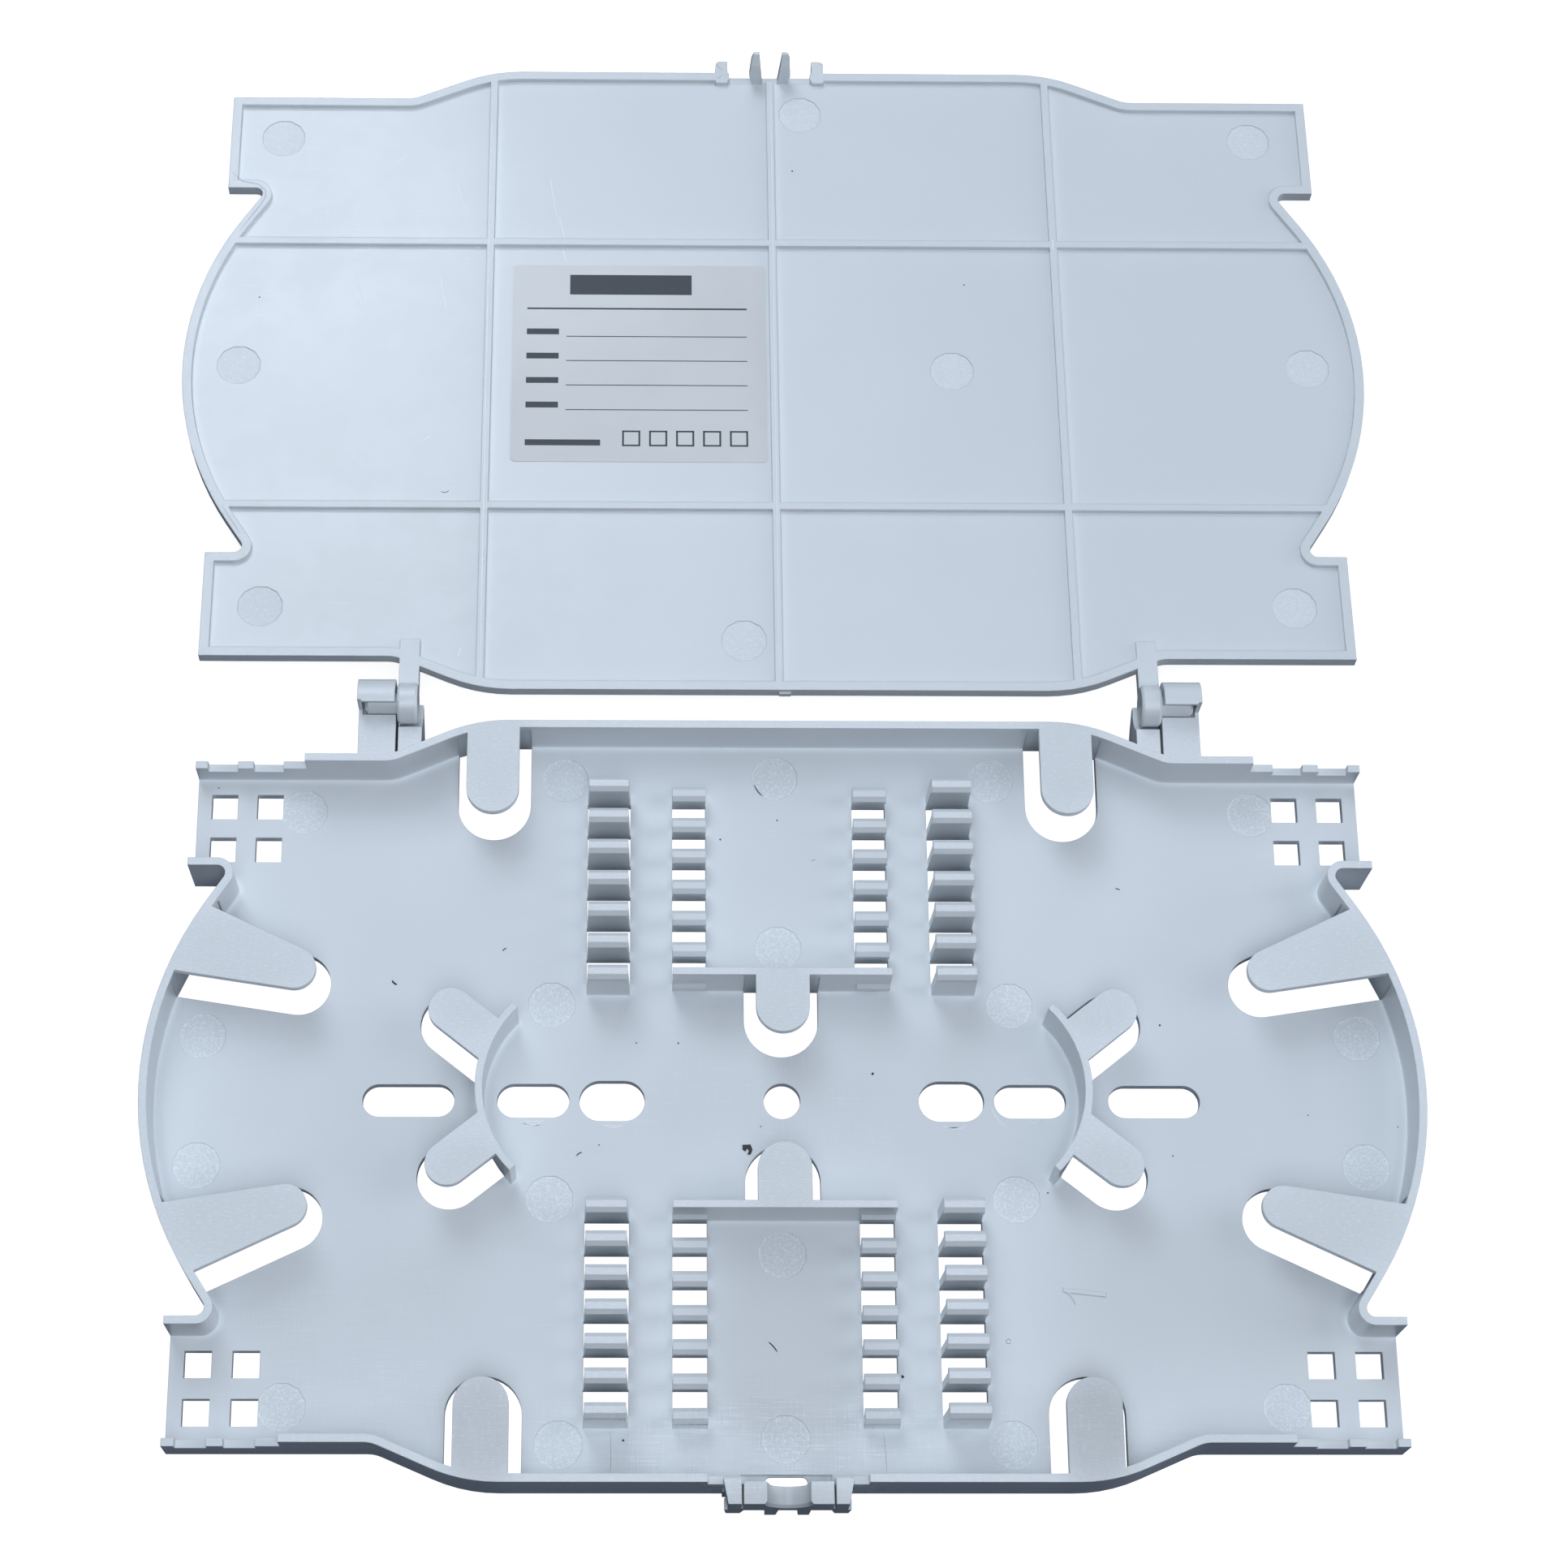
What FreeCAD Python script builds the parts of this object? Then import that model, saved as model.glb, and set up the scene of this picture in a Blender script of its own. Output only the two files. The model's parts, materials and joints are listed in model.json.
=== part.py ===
import FreeCAD, Part
import math
import os

from FreeCAD import Vector

# A fibre splice tray with a hinged lid, shown open.
# Frame: +X to the right, +Y towards the hinge side, +Z up, millimetres.
# Origin: the centre hole, on the underside of the tray.

# Tray outline, the same for the base and the lid
half_length = 95.0
half_depth = 58.0
wing_setback_x = 5.5
wing_setback_y = 5.6
wing_depth = 18.1
notch_radius = 1.25
side_arc_radius = 52.0
side_arc_tail = 6.0
shoulder_x = 46.35
shoulder_angle = 23.3
shoulder_radius = 24.5
shoulder_foot_radius = 5.0
side_arc_centre = half_length - side_arc_radius
wing_end_x = half_length - wing_setback_x
wing_y = half_depth - wing_setback_y
notch_y = wing_y - wing_depth

# Base walls and floor
wall_height = 10.0
wall = 1.2
floor = 1.6

# Low steps along the wing walls, where cable ties wrap round
step_start_x = wing_end_x - 17.0
step_high = 6.5
step_low = 5.0
tie_gap = 4.6
tie_hole = 4.0
tie_pitch = 7.0
tie_end_x = wing_end_x - 4.15
tie_end_y = wing_y - 5.7
tie_columns = (tie_end_x - tie_pitch, tie_end_x)
tie_rows = (tie_end_y - tie_pitch, tie_end_y)

# Slots and centre hole along the long axis: inner end, outer end, width
slots = ((20.5, 30.3, 6.2), (31.8, 42.6, 5.2), (48.95, 62.7, 5.0))
centre_hole_radius = 2.75

# Retaining fingers and the floor windows under them
finger_thickness = 1.3
finger_window_gap = 1.6
core_relief = 0.25
main_finger_reach = 11.0
main_finger_tip = (43.8, half_depth - main_finger_reach)
main_finger_radius = 4.0
side_finger_tip = (half_length - 22.2, 18.1)
side_finger_radius = 3.2
side_finger_root_angles = (33.0, 20.2)
arc_finger_tip = (49.4, 11.75)
arc_finger_radius = 3.3
arc_finger_angle = 38.5
centre_tab_tip = (0.0, 12.4)
centre_tab_radius = 4.0

# Inner walls that the fibre loops run round
arc_centre_x = 27.6
arc_radius = 18.0
arc_wall = 1.1
arc_half_angle = 45.3
cross_wall_y = 17.75
cross_wall_half = 16.4
cross_wall = 1.1

# Splice combs: rows of teeth with rounded heads over a bar of floor
tooth_pitch = 5.0
tooth_count = 7
tooth_stem = 1.2
tooth_head_radius = 1.2
tooth_head_facets = 8
tall_comb_x = 26.1
tall_comb_top = 6.0
tall_comb_foot = 6.6
low_comb_x = 13.85
low_comb_width = 5.1
low_comb_height = 5.7

# Hinge: the lid's pins turn in open snap rings on the base
hinge_x = 58.5
axis_y = half_depth + 2.4
axis_z = wall_height + 0.5
pin_radius = 1.6
pin_clearance = 0.1
knuckle_radius = 3.2
knuckle_x0 = hinge_x - 3.1
knuckle_x1 = hinge_x
knuckle_chamfer = 0.35
pin_chamfer = 0.5
cradle_x0 = hinge_x - 3.7
cradle_x1 = hinge_x - 0.1
cradle_clearance = 0.4
cradle_back_y = axis_y + 1.15
bracket_x0 = hinge_x + 0.3
bracket_x1 = bracket_x0 + 5.7
pin_end_x = bracket_x1 - 1.0
ring_radius = 3.7
ring_mouth_angle = 107.0
bracket_stop = 0.6

# Front latch block on the base
latch_half = 9.3
latch_taper = 0.72
latch_front_y = half_depth + 3.1
latch_back_y = half_depth - 0.1
latch_under = 4.5
ear_inner_x = 6.7
block_outer_x = 6.4
slit_bottom = 6.2
pocket_half = 6.6
pocket_back_y = half_depth - 2.4
pocket_floor = 0.5
thumb_groove_radius = 3.1
thumb_groove_bottom = 6.6
through_hole_half = 3.1
through_hole_front_y = half_depth + 0.1
lowered_wall_x = 11.5
lowered_wall_height = 7.9
inner_foot = (1.6, 3.2, 0.4, 0.3)
outer_foot = (6.8, 8.8, 1.9, 0.6)

# Lid
lid_gap = 0.05
lid_plate = 1.2
lid_rim = 0.8
lid_rim_width = 1.5
rib_width = 1.2
rib_lines_x = (-46.1, 0.0, 46.1)
rib_lines_y = (-24.0, 25.5)
lid_recess_half = 6.8
lid_recess_y = half_depth - 0.35
lid_tab = (7.05, 9.05, half_depth + 2.35)
lid_tab_drop = 0.2
lid_tab_corner = 0.8
nub_x = 0.9

# Snap prongs: edges in X at the root and tip, heights measured from the root
prong_inner_root = 1.25
prong_inner_tip = 1.9
prong_outer_root = 2.85
prong_barb_x = 3.43
prong_barb_rise = 1.95
prong_shoulder_x = 3.2
prong_shoulder_rise = 5.7
prong_tip_x = 2.75
prong_length = 7.1
prong_y0 = half_depth - 1.65
prong_y1 = half_depth - 0.4
prong_lead_rise = 4.8
prong_tip_thickness = 0.5
rest_clearance = 0.02

# Label stuck inside the lid: x0, x1, y0, y1 with the lid shut
label_box = (-42.2, -1.2, -19.9, 17.2)
label_thickness = 0.1
label_corner = 0.5

# Round ejector marks left by the mould
ejector_radius = 3.5
ejector_depth = 0.12
ejector_facets = 12
wall_mark_y = half_depth - 6.7
front_mark_y = 7.5 - half_depth
quarter_ejectors = (
    (34.6, 15.0), (wing_end_x - 16.5, wing_y - 6.5), (half_length - 8.0, 10.0), (32.9, wall_mark_y),
)
middle_ejectors = ((-0.2, -23.4), (0.0, front_mark_y), (-0.5, wall_mark_y + 0.4), (-0.3, 24.0))
lid_ejectors = (
    (-80.9, -44.7), (-86.1, -0.5), (-80.5, 43.4), (-5.3, 49.1),
    (28.7, 0.0), (5.0, -50.0), (86.2, -0.8), (80.7, 43.0), (79.8, -45.1),
)


def block(x0, x1, y0, y1, z0, z1):
    """Box between two corners given in any order."""
    low = Vector(min(x0, x1), min(y0, y1), min(z0, z1))
    return Part.makeBox(abs(x1 - x0), abs(y1 - y0), abs(z1 - z0), low)


def disc(x, y, radius, z0, z1):
    """Upright cylinder."""
    return Part.makeCylinder(radius, z1 - z0, Vector(x, y, z0))


def rod(y, z, radius, x0, x1):
    """Cylinder along X."""
    return Part.makeCylinder(radius, x1 - x0, Vector(x0, y, z), Vector(1, 0, 0))


def facet_ring(a, b, radius, count):
    """Corners of a many-sided ring, drawn just outside its circle so that the area stays true."""
    outer = radius / math.sqrt(math.cos(math.pi / count))
    turns = [2 * math.pi * (k + 0.5) / count for k in range(count)]
    return [(a + outer * math.cos(t), b + outer * math.sin(t)) for t in turns]


def prism(points, z0, z1):
    """Polygon given in X and Y, raised from z0 to z1."""
    corners = [Vector(x, y, z0) for x, y in points]
    face = Part.Face(Part.makePolygon(corners + corners[:1]))
    return face.extrude(Vector(0, 0, z1 - z0))


def profile_x(points, x0, x1):
    """Polygon given in Y and Z, drawn out along X."""
    corners = [Vector(x0, y, z) for y, z in points]
    face = Part.Face(Part.makePolygon(corners + corners[:1]))
    return face.extrude(Vector(x1 - x0, 0, 0))


def profile_y(points, y0, y1):
    """Polygon given in X and Z, drawn out along Y."""
    corners = [Vector(x, y0, z) for x, z in points]
    face = Part.Face(Part.makePolygon(corners + corners[:1]))
    return face.extrude(Vector(0, y1 - y0, 0))


def flip_x(shape):
    return shape.mirror(Vector(0, 0, 0), Vector(1, 0, 0))


def flip_y(shape):
    return shape.mirror(Vector(0, 0, 0), Vector(0, 1, 0))


def both_x(shapes):
    """The shapes and their mirror images left to right."""
    return shapes + [flip_x(shape) for shape in shapes]


def all_four(shapes):
    """The shapes in all four quarters of the tray."""
    right = shapes + [flip_y(shape) for shape in shapes]
    return both_x(right)


def join(shapes):
    """One solid from shapes that touch or overlap."""
    first, rest = shapes[0], shapes[1:]
    return first.fuse(rest).removeSplitter()


def arc_through(a, b, c):
    return Part.Arc(Vector(*a, 0), Vector(*b, 0), Vector(*c, 0)).toShape()


def rounded_path(corners):
    """Edges along corners given as x, y, radius; the first and the last stay sharp."""
    points = [Vector(x, y, 0) for x, y, radius in corners]
    edges = []
    start = points[0]
    for k in range(1, len(points) - 1):
        here, radius = points[k], corners[k][2]
        if radius == 0:
            edges.append(Part.makeLine(start, here))
            start = here
            continue
        back = (points[k - 1] - here).normalize()
        ahead = (points[k + 1] - here).normalize()
        half = back.getAngle(ahead) / 2
        inward = (back + ahead).normalize()
        middle = here + inward * (radius / math.sin(half) - radius)
        first = here + back * (radius / math.tan(half))
        last = here + ahead * (radius / math.tan(half))
        edges.append(Part.makeLine(start, first))
        edges.append(Part.Arc(first, middle, last).toShape())
        start = last
    edges.append(Part.makeLine(start, points[-1]))
    return edges


def quarter_edges():
    """Outline of the quarter with positive X and Y, from the Y axis round to the X axis."""
    slope = math.tan(math.radians(shoulder_angle))
    wing_x = shoulder_x + (half_depth - wing_y) / slope
    arc_end = math.asin((notch_y - side_arc_tail) / side_arc_radius)
    tail_x = side_arc_centre + side_arc_radius * math.cos(arc_end)
    tail_y = side_arc_radius * math.sin(arc_end)
    notch_x = tail_x - (notch_y - tail_y) * math.tan(arc_end)
    arc_mid = (
        side_arc_centre + side_arc_radius * math.cos(arc_end / 2),
        side_arc_radius * math.sin(arc_end / 2),
    )
    path = rounded_path([
        (0, half_depth, 0), (shoulder_x, half_depth, shoulder_radius),
        (wing_x, wing_y, shoulder_foot_radius), (wing_end_x, wing_y, 0),
        (wing_end_x, notch_y, 0), (notch_x, notch_y, notch_radius), (tail_x, tail_y, 0),
    ])
    return path + [arc_through((tail_x, tail_y), arc_mid, (half_length, 0))]


def outline_face():
    quarter = quarter_edges()
    upper = quarter + [flip_x(edge) for edge in quarter]
    edges = upper + [flip_y(edge) for edge in upper]
    wire = Part.Wire(Part.__sortEdges__(edges))
    return Part.Face(wire)


def inner_face(outline, inset, open_ends):
    """The outline shrunk by a wall; with open ends it runs out through the wing ends."""
    face = outline.makeOffset2D(-inset)
    if not open_ends:
        return face
    reach = 10.0
    ends = []
    for side in (1, -1):
        low = Vector(wing_end_x - reach, notch_y + inset, 0)
        plate = Part.makePlane(reach + 1.0, wing_y - notch_y - 2 * inset, low)
        ends.append(flip_y(plate) if side < 0 else plate)
    return face.fuse(both_x(ends)).removeSplitter()


def raise_face(face, z0, z1):
    moved = face.copy()
    moved.translate(Vector(0, 0, z0))
    return moved.extrude(Vector(0, 0, z1 - z0))


def tongue(tip, radius, roots, z0, z1, grow=0.0):
    """Round-ended finger from its tip circle to two root points, first the left one."""
    corners = []
    for side, root in ((1, roots[0]), (-1, roots[1])):
        dx, dy = root[0] - tip[0], root[1] - tip[1]
        swing = math.asin(radius / math.hypot(dx, dy))
        edge = math.atan2(dy, dx) - side * swing
        out = edge + side * math.pi / 2
        nx, ny = math.cos(out), math.sin(out)
        touch = (tip[0] + (radius + grow) * nx, tip[1] + (radius + grow) * ny)
        foot = (root[0] + grow * nx, root[1] + grow * ny)
        corners.append((touch, foot))
    (touch_a, foot_a), (touch_b, foot_b) = corners
    plate = prism([touch_a, foot_a, foot_b, touch_b], z0, z1)
    return join([plate, disc(tip[0], tip[1], radius + grow, z0, z1)])


def straight_roots(tip, half_width, angle, length):
    """Root points straight behind a finger tip, for a finger with parallel sides."""
    a = math.radians(angle)
    back = (math.cos(a), math.sin(a))
    left = (-back[1] * half_width, back[0] * half_width)
    end = (tip[0] + back[0] * length, tip[1] + back[1] * length)
    spread = 1.0001
    return (
        (end[0] + left[0] * spread, end[1] + left[1] * spread),
        (end[0] - left[0] * spread, end[1] - left[1] * spread),
    )


def side_finger_roots():
    """Points in the side wall that the flared side finger grows from."""
    radius = side_arc_radius - wall / 2
    turns = [math.radians(angle) for angle in side_finger_root_angles]
    return [(side_arc_centre + radius * math.cos(t), radius * math.sin(t)) for t in turns]


def fingers(z0, z1, grow=0.0):
    """Fingers of one quarter, by the wall that each is rooted on."""
    main = tongue(
        main_finger_tip, main_finger_radius,
        straight_roots(main_finger_tip, main_finger_radius, 90.0, main_finger_reach + wall),
        z0, z1, grow,
    )
    side = tongue(side_finger_tip, side_finger_radius, side_finger_roots(), z0, z1, grow)
    arc = tongue(
        arc_finger_tip, arc_finger_radius,
        straight_roots(arc_finger_tip, arc_finger_radius, 180.0 + arc_finger_angle, 11.0),
        z0, z1, grow,
    )
    tab = tongue(
        centre_tab_tip, centre_tab_radius,
        straight_roots(centre_tab_tip, centre_tab_radius, 90.0, cross_wall_y - centre_tab_tip[1]),
        z0, z1, grow,
    )
    return main, side, arc, tab


def tooth_lines():
    return [cross_wall_y + tooth_pitch * k for k in range(tooth_count)]


def slot_cut(x0, x1, width):
    """Slot with round ends through the floor, lying along X."""
    r = width / 2
    middle = block(x0 + r, x1 - r, -r, r, -1.0, floor)
    ends = [disc(x, 0, r, -1.0, floor) for x in (x0 + r, x1 - r)]
    return join([middle] + ends)


def finger_windows(outline):
    """Core pins that open the floor under the fingers; each bites a little into its wall."""
    main, side, arc, tab = fingers(-1.0, wall_height - finger_thickness, finger_window_gap)
    reach = raise_face(inner_face(outline, wall - core_relief, True), -2.0, wall_height)
    main = main.common(reach)
    side = side.common(reach)
    arc = arc.cut(disc(arc_centre_x, 0, arc_radius - core_relief, -2.0, wall_height))
    half = centre_tab_radius + 2 * finger_window_gap
    wall_face = cross_wall_y - cross_wall / 2 + core_relief
    tab = tab.cut(block(-half, half, wall_face, wall_face + half, -2.0, wall_height))
    return all_four([main, side, arc]) + [tab, flip_y(tab)]


def floor_openings():
    """Tie holes, comb gaps, slots and the centre hole."""
    cuts = []
    half = tie_hole / 2
    for x in tie_columns:
        for y in tie_rows:
            cuts.append(block(x - half, x + half, y - half, y + half, -1.0, floor))
    lines = tooth_lines()
    for y0, y1 in zip(lines[:-1], lines[1:]):
        gap = (y0 + tooth_stem / 2, y1 - tooth_stem / 2)
        for x, width in ((tall_comb_x, tall_comb_foot), (low_comb_x, low_comb_width)):
            cuts.append(block(x - width / 2, x + width / 2, gap[0], gap[1], -1.0, floor))
    long_slots = [slot_cut(*slot) for slot in slots]
    cuts = all_four(cuts) + both_x(long_slots)
    cuts.append(disc(0, 0, centre_hole_radius, -1.0, floor + 1.0))
    return cuts


def bead(y, z, x0, x1):
    """Rounded head that runs along the top of a comb tooth."""
    return profile_x(facet_ring(y, z, tooth_head_radius, tooth_head_facets), x0, x1)


def ejector_mark(x, y, z0, z1):
    return prism(facet_ring(x, y, ejector_radius, ejector_facets), z0, z1)


def tooth(x, y, z_top, top_width, foot_width, solid_side=0):
    """Comb tooth: tapering stem and rounded head; solid_side 1 or -1 thickens its +Y or -Y side."""
    stem_top = z_top - tooth_head_radius
    low_y = y - (tooth_head_radius if solid_side < 0 else tooth_stem / 2)
    high_y = y + (tooth_head_radius if solid_side > 0 else tooth_stem / 2)
    plate = profile_y(
        [
            (x - foot_width / 2, 0.0), (x + foot_width / 2, 0.0),
            (x + top_width / 2, stem_top), (x - top_width / 2, stem_top),
        ],
        low_y, high_y,
    )
    return join([plate, bead(y, stem_top, x - top_width / 2, x + top_width / 2)])


def combs():
    """Tall and low comb of one quarter; the low one starts on the cross wall."""
    lines = tooth_lines()
    last = len(lines) - 1
    teeth = []
    for k, y in enumerate(lines):
        side = {0: -1, last: 1}.get(k, 0)
        teeth.append(tooth(tall_comb_x, y, wall_height, tall_comb_top, tall_comb_foot, side))
        if k > 0:
            teeth.append(
                tooth(low_comb_x, y, low_comb_height, low_comb_width, low_comb_width, side)
            )
    half = low_comb_width / 2
    z = low_comb_height - tooth_head_radius
    return teeth + [bead(cross_wall_y, z, low_comb_x - half, low_comb_x + half)]


def inner_walls():
    """Arc walls and cross walls that the fibre loops run round."""
    ring = disc(arc_centre_x, 0, arc_radius, 0, wall_height)
    ring = ring.cut(disc(arc_centre_x, 0, arc_radius - arc_wall, -1, wall_height + 1))
    a = math.radians(arc_half_angle)
    far = 2 * arc_radius
    wedge = prism(
        [
            (arc_centre_x, 0.0),
            (arc_centre_x + far * math.cos(a), -far * math.sin(a)),
            (arc_centre_x + far * math.cos(a), far * math.sin(a)),
        ],
        0, wall_height,
    )
    arc = ring.common(wedge)
    cross = block(
        -cross_wall_half, cross_wall_half,
        cross_wall_y - cross_wall / 2, cross_wall_y + cross_wall / 2, 0, wall_height,
    )
    return both_x([arc]) + [cross, flip_y(cross)]


def raised_fingers(outline):
    """Fingers level with the top of the walls, trimmed to the wall they grow from."""
    main, side, arc, tab = fingers(wall_height - finger_thickness, wall_height)
    body = raise_face(outline, 0, wall_height)
    inside_arc = disc(arc_centre_x, 0, arc_radius - arc_wall, 0, wall_height + 1)
    return all_four([main.common(body), side.common(body), arc.cut(inside_arc)]) + [
        tab, flip_y(tab)
    ]


def wall_steps():
    """What is taken off the tops of the wing walls of one quarter."""
    y0, y1 = wing_y - wall - 0.3, wing_y + 1.0
    cuts = [block(step_start_x, wing_end_x + 1, y0, y1, step_high, wall_height + 1)]
    for x in tie_columns:
        cuts.append(block(x - tie_gap / 2, x + tie_gap / 2, y0, y1, step_low, wall_height + 1))
    return cuts


def hinge_bracket():
    """Open snap ring and its bracket, right-hand side."""
    shoulder = profile_x(
        [
            (wing_y - wall / 2, 0.0), (wing_y - wall / 2, wall_height),
            (axis_y, wall_height), (axis_y + ring_radius, axis_z),
            (axis_y + ring_radius * 0.75, axis_z - 4.0), (axis_y - 1.5, 2.5), (axis_y - 3.6, 0.0),
        ],
        bracket_x0, bracket_x1,
    )
    ring = rod(axis_y, axis_z, ring_radius, bracket_x0, bracket_x1)
    body = join([shoulder, ring])
    bore = rod(axis_y, axis_z, pin_radius + pin_clearance, bracket_x0 - 1, bracket_x1 - bracket_stop)
    a = math.radians(ring_mouth_angle)
    far = 9.0
    floor_of_mouth = wall_height - axis_z
    mouth = profile_x(
        [
            (axis_y, axis_z),
            (axis_y + far * math.cos(a), axis_z + far * math.sin(a)),
            (axis_y - far, axis_z + far),
            (axis_y - far, axis_z + floor_of_mouth),
            (axis_y, axis_z + floor_of_mouth),
        ],
        bracket_x0 - 1, bracket_x1 - bracket_stop,
    )
    end_trim = block(
        bracket_x1 - bracket_stop, bracket_x1 + 1, axis_y - far, axis_y - 0.8,
        wall_height, axis_z + far,
    )
    return body.cut([bore, mouth, end_trim])


def hinge_cradle():
    """Curved rest under the lid's knuckle, right-hand side."""
    rest_radius = knuckle_radius + cradle_clearance
    body = profile_x(
        [
            (wing_y - wall, 0.0), (wing_y - wall, wall_height - 0.1),
            (cradle_back_y, wall_height - 0.1), (cradle_back_y, 6.0),
            (axis_y - 1.0, 3.0), (axis_y - 4.0, 0.0),
        ],
        cradle_x0, cradle_x1,
    )
    hollow = rod(axis_y, axis_z, rest_radius, cradle_x0 - 1, cradle_x1 + 1)
    behind = block(cradle_x0 - 1, cradle_x1 + 1, axis_y, cradle_back_y + 1, 7.6, axis_z + 1)
    return body.cut([hollow, behind])


def tapered_foot(x0, x1, z0, taper):
    """Foot under the latch block that narrows towards the table."""
    return profile_y(
        [
            (x0 - taper, latch_under + 0.5), (x1 + taper / 2, latch_under + 0.5),
            (x1, z0), (x0, z0),
        ],
        -latch_front_y, -latch_front_y + 1.6,
    )


def latch_block():
    """Front block that takes the lid's snap prongs, with its feet."""
    front_half = latch_half - latch_taper
    root_y = -half_depth + wall / 2
    body = prism(
        [
            (-latch_half, root_y), (-front_half, -latch_front_y),
            (front_half, -latch_front_y), (latch_half, root_y),
        ],
        latch_under, wall_height,
    )
    feet = both_x([tapered_foot(*inner_foot), tapered_foot(*outer_foot)])
    skirt = block(-latch_half, latch_half, -latch_back_y - 0.6, -half_depth + wall, 0, latch_under)
    whole = join([body, skirt] + feet)
    slits = both_x([
        block(block_outer_x, ear_inner_x, -latch_front_y - 1, -latch_back_y + 1,
              slit_bottom, wall_height + 1)
    ])
    groove_axis_z = thumb_groove_bottom + thumb_groove_radius
    groove = Part.makeCylinder(
        thumb_groove_radius, 6.0, Vector(0, -latch_front_y - 1, groove_axis_z), Vector(0, 1, 0)
    )
    above = block(
        -thumb_groove_radius, thumb_groove_radius, -latch_front_y - 1, -latch_back_y + 1,
        groove_axis_z, wall_height + 1,
    )
    flare = Part.makeCone(
        thumb_groove_radius + 0.35, thumb_groove_radius, 0.45,
        Vector(0, -latch_front_y - 0.01, groove_axis_z), Vector(0, 1, 0),
    )
    return whole.cut(slits + [groove, above, flare])


def latch_cuts():
    """Pocket behind the latch block and the hole that runs right through."""
    pocket = block(
        -pocket_half, pocket_half, -latch_back_y, -pocket_back_y, pocket_floor, wall_height + 1
    )
    hole = block(
        -through_hole_half, through_hole_half, -through_hole_front_y, -pocket_back_y - 0.15,
        -1.0, wall_height,
    )
    edges = [e for e in hole.Edges if abs(e.Vertexes[0].Z - e.Vertexes[1].Z) > 1]
    return [pocket, hole.makeFillet(0.8, edges)]


def base_tray():
    outline = outline_face()
    pocket_face = inner_face(outline, wall, True)
    shell = raise_face(outline, 0, wall_height)
    shell = shell.cut(raise_face(pocket_face, floor, wall_height + 1))
    lowered = block(
        -lowered_wall_x, lowered_wall_x, -half_depth - 1, -half_depth + wall + 0.3,
        lowered_wall_height, wall_height + 1,
    )
    z0, z1 = floor - ejector_depth, floor + 1
    marks = all_four([ejector_mark(x, y, z0, z1) for x, y in quarter_ejectors])
    marks += [ejector_mark(x, y, z0, z1) for x, y in middle_ejectors]
    shell = shell.cut(marks + floor_openings() + all_four(wall_steps()) + [lowered])
    adds = raised_fingers(outline) + inner_walls() + all_four(combs())
    adds += both_x([hinge_bracket(), hinge_cradle()]) + [latch_block()]
    whole = shell.fuse(adds)
    return whole.cut(finger_windows(outline) + latch_cuts()).removeSplitter()


def lid_plate_level():
    """Inner face of the shut lid's plate."""
    return wall_height + lid_gap + lid_rim


def hinge_arm(z_top):
    """Arm, knuckle and pin, right-hand side, on the shut lid."""
    arm = block(
        knuckle_x0, knuckle_x1, wing_y - 3.0, axis_y, wall_height + lid_gap, z_top
    )
    knuckle = rod(axis_y, axis_z, knuckle_radius, knuckle_x0, knuckle_x1)
    rims = [edge for edge in knuckle.Edges if edge.Closed]
    knuckle = knuckle.makeChamfer(knuckle_chamfer, rims)
    pin = rod(axis_y, axis_z, pin_radius, knuckle_x1 - 0.5, pin_end_x)
    tip = [edge for edge in pin.Edges if edge.Closed and edge.CenterOfMass.x > pin_end_x - 0.1]
    return join([arm, knuckle, pin.makeChamfer(pin_chamfer, tip)])


def prong():
    """Snap prong with its barb facing outwards and a lead-in slope, on the shut lid."""
    root = lid_plate_level()
    tip = root - prong_length
    shoulder = root - prong_shoulder_rise
    plate = profile_y(
        [
            (prong_inner_root, root + 0.4), (prong_outer_root, root + 0.4),
            (prong_outer_root, root), (prong_barb_x, root - prong_barb_rise),
            (prong_shoulder_x, shoulder), (prong_shoulder_x - 0.15, (shoulder + tip) / 2),
            (prong_tip_x, tip + 0.1), (prong_tip_x - 0.4, tip), (prong_inner_tip, tip),
        ],
        -prong_y1, -prong_y0,
    )
    lead = profile_x(
        [
            (-prong_y0, root - prong_lead_rise), (-prong_y1 + prong_tip_thickness, tip - 0.1),
            (-prong_y0 + 1.0, tip - 0.1), (-prong_y0 + 1.0, root - prong_lead_rise),
        ],
        0.0, prong_barb_x + 1.0,
    )
    return plate.cut(lead)


def lid_latch_tab(z0, z1):
    """Tab beside the recess, its outer corner rounded, right-hand side."""
    x0, x1, tip_y = lid_tab
    tab = block(x0, x1, -tip_y, -half_depth + 2, z0, z1)
    corner = Vector(x1, -tip_y, (z0 + z1) / 2)
    edges = [edge for edge in tab.Edges if edge.CenterOfMass.distanceToPoint(corner) < 0.01]
    return tab.makeFillet(lid_tab_corner, edges)


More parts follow.
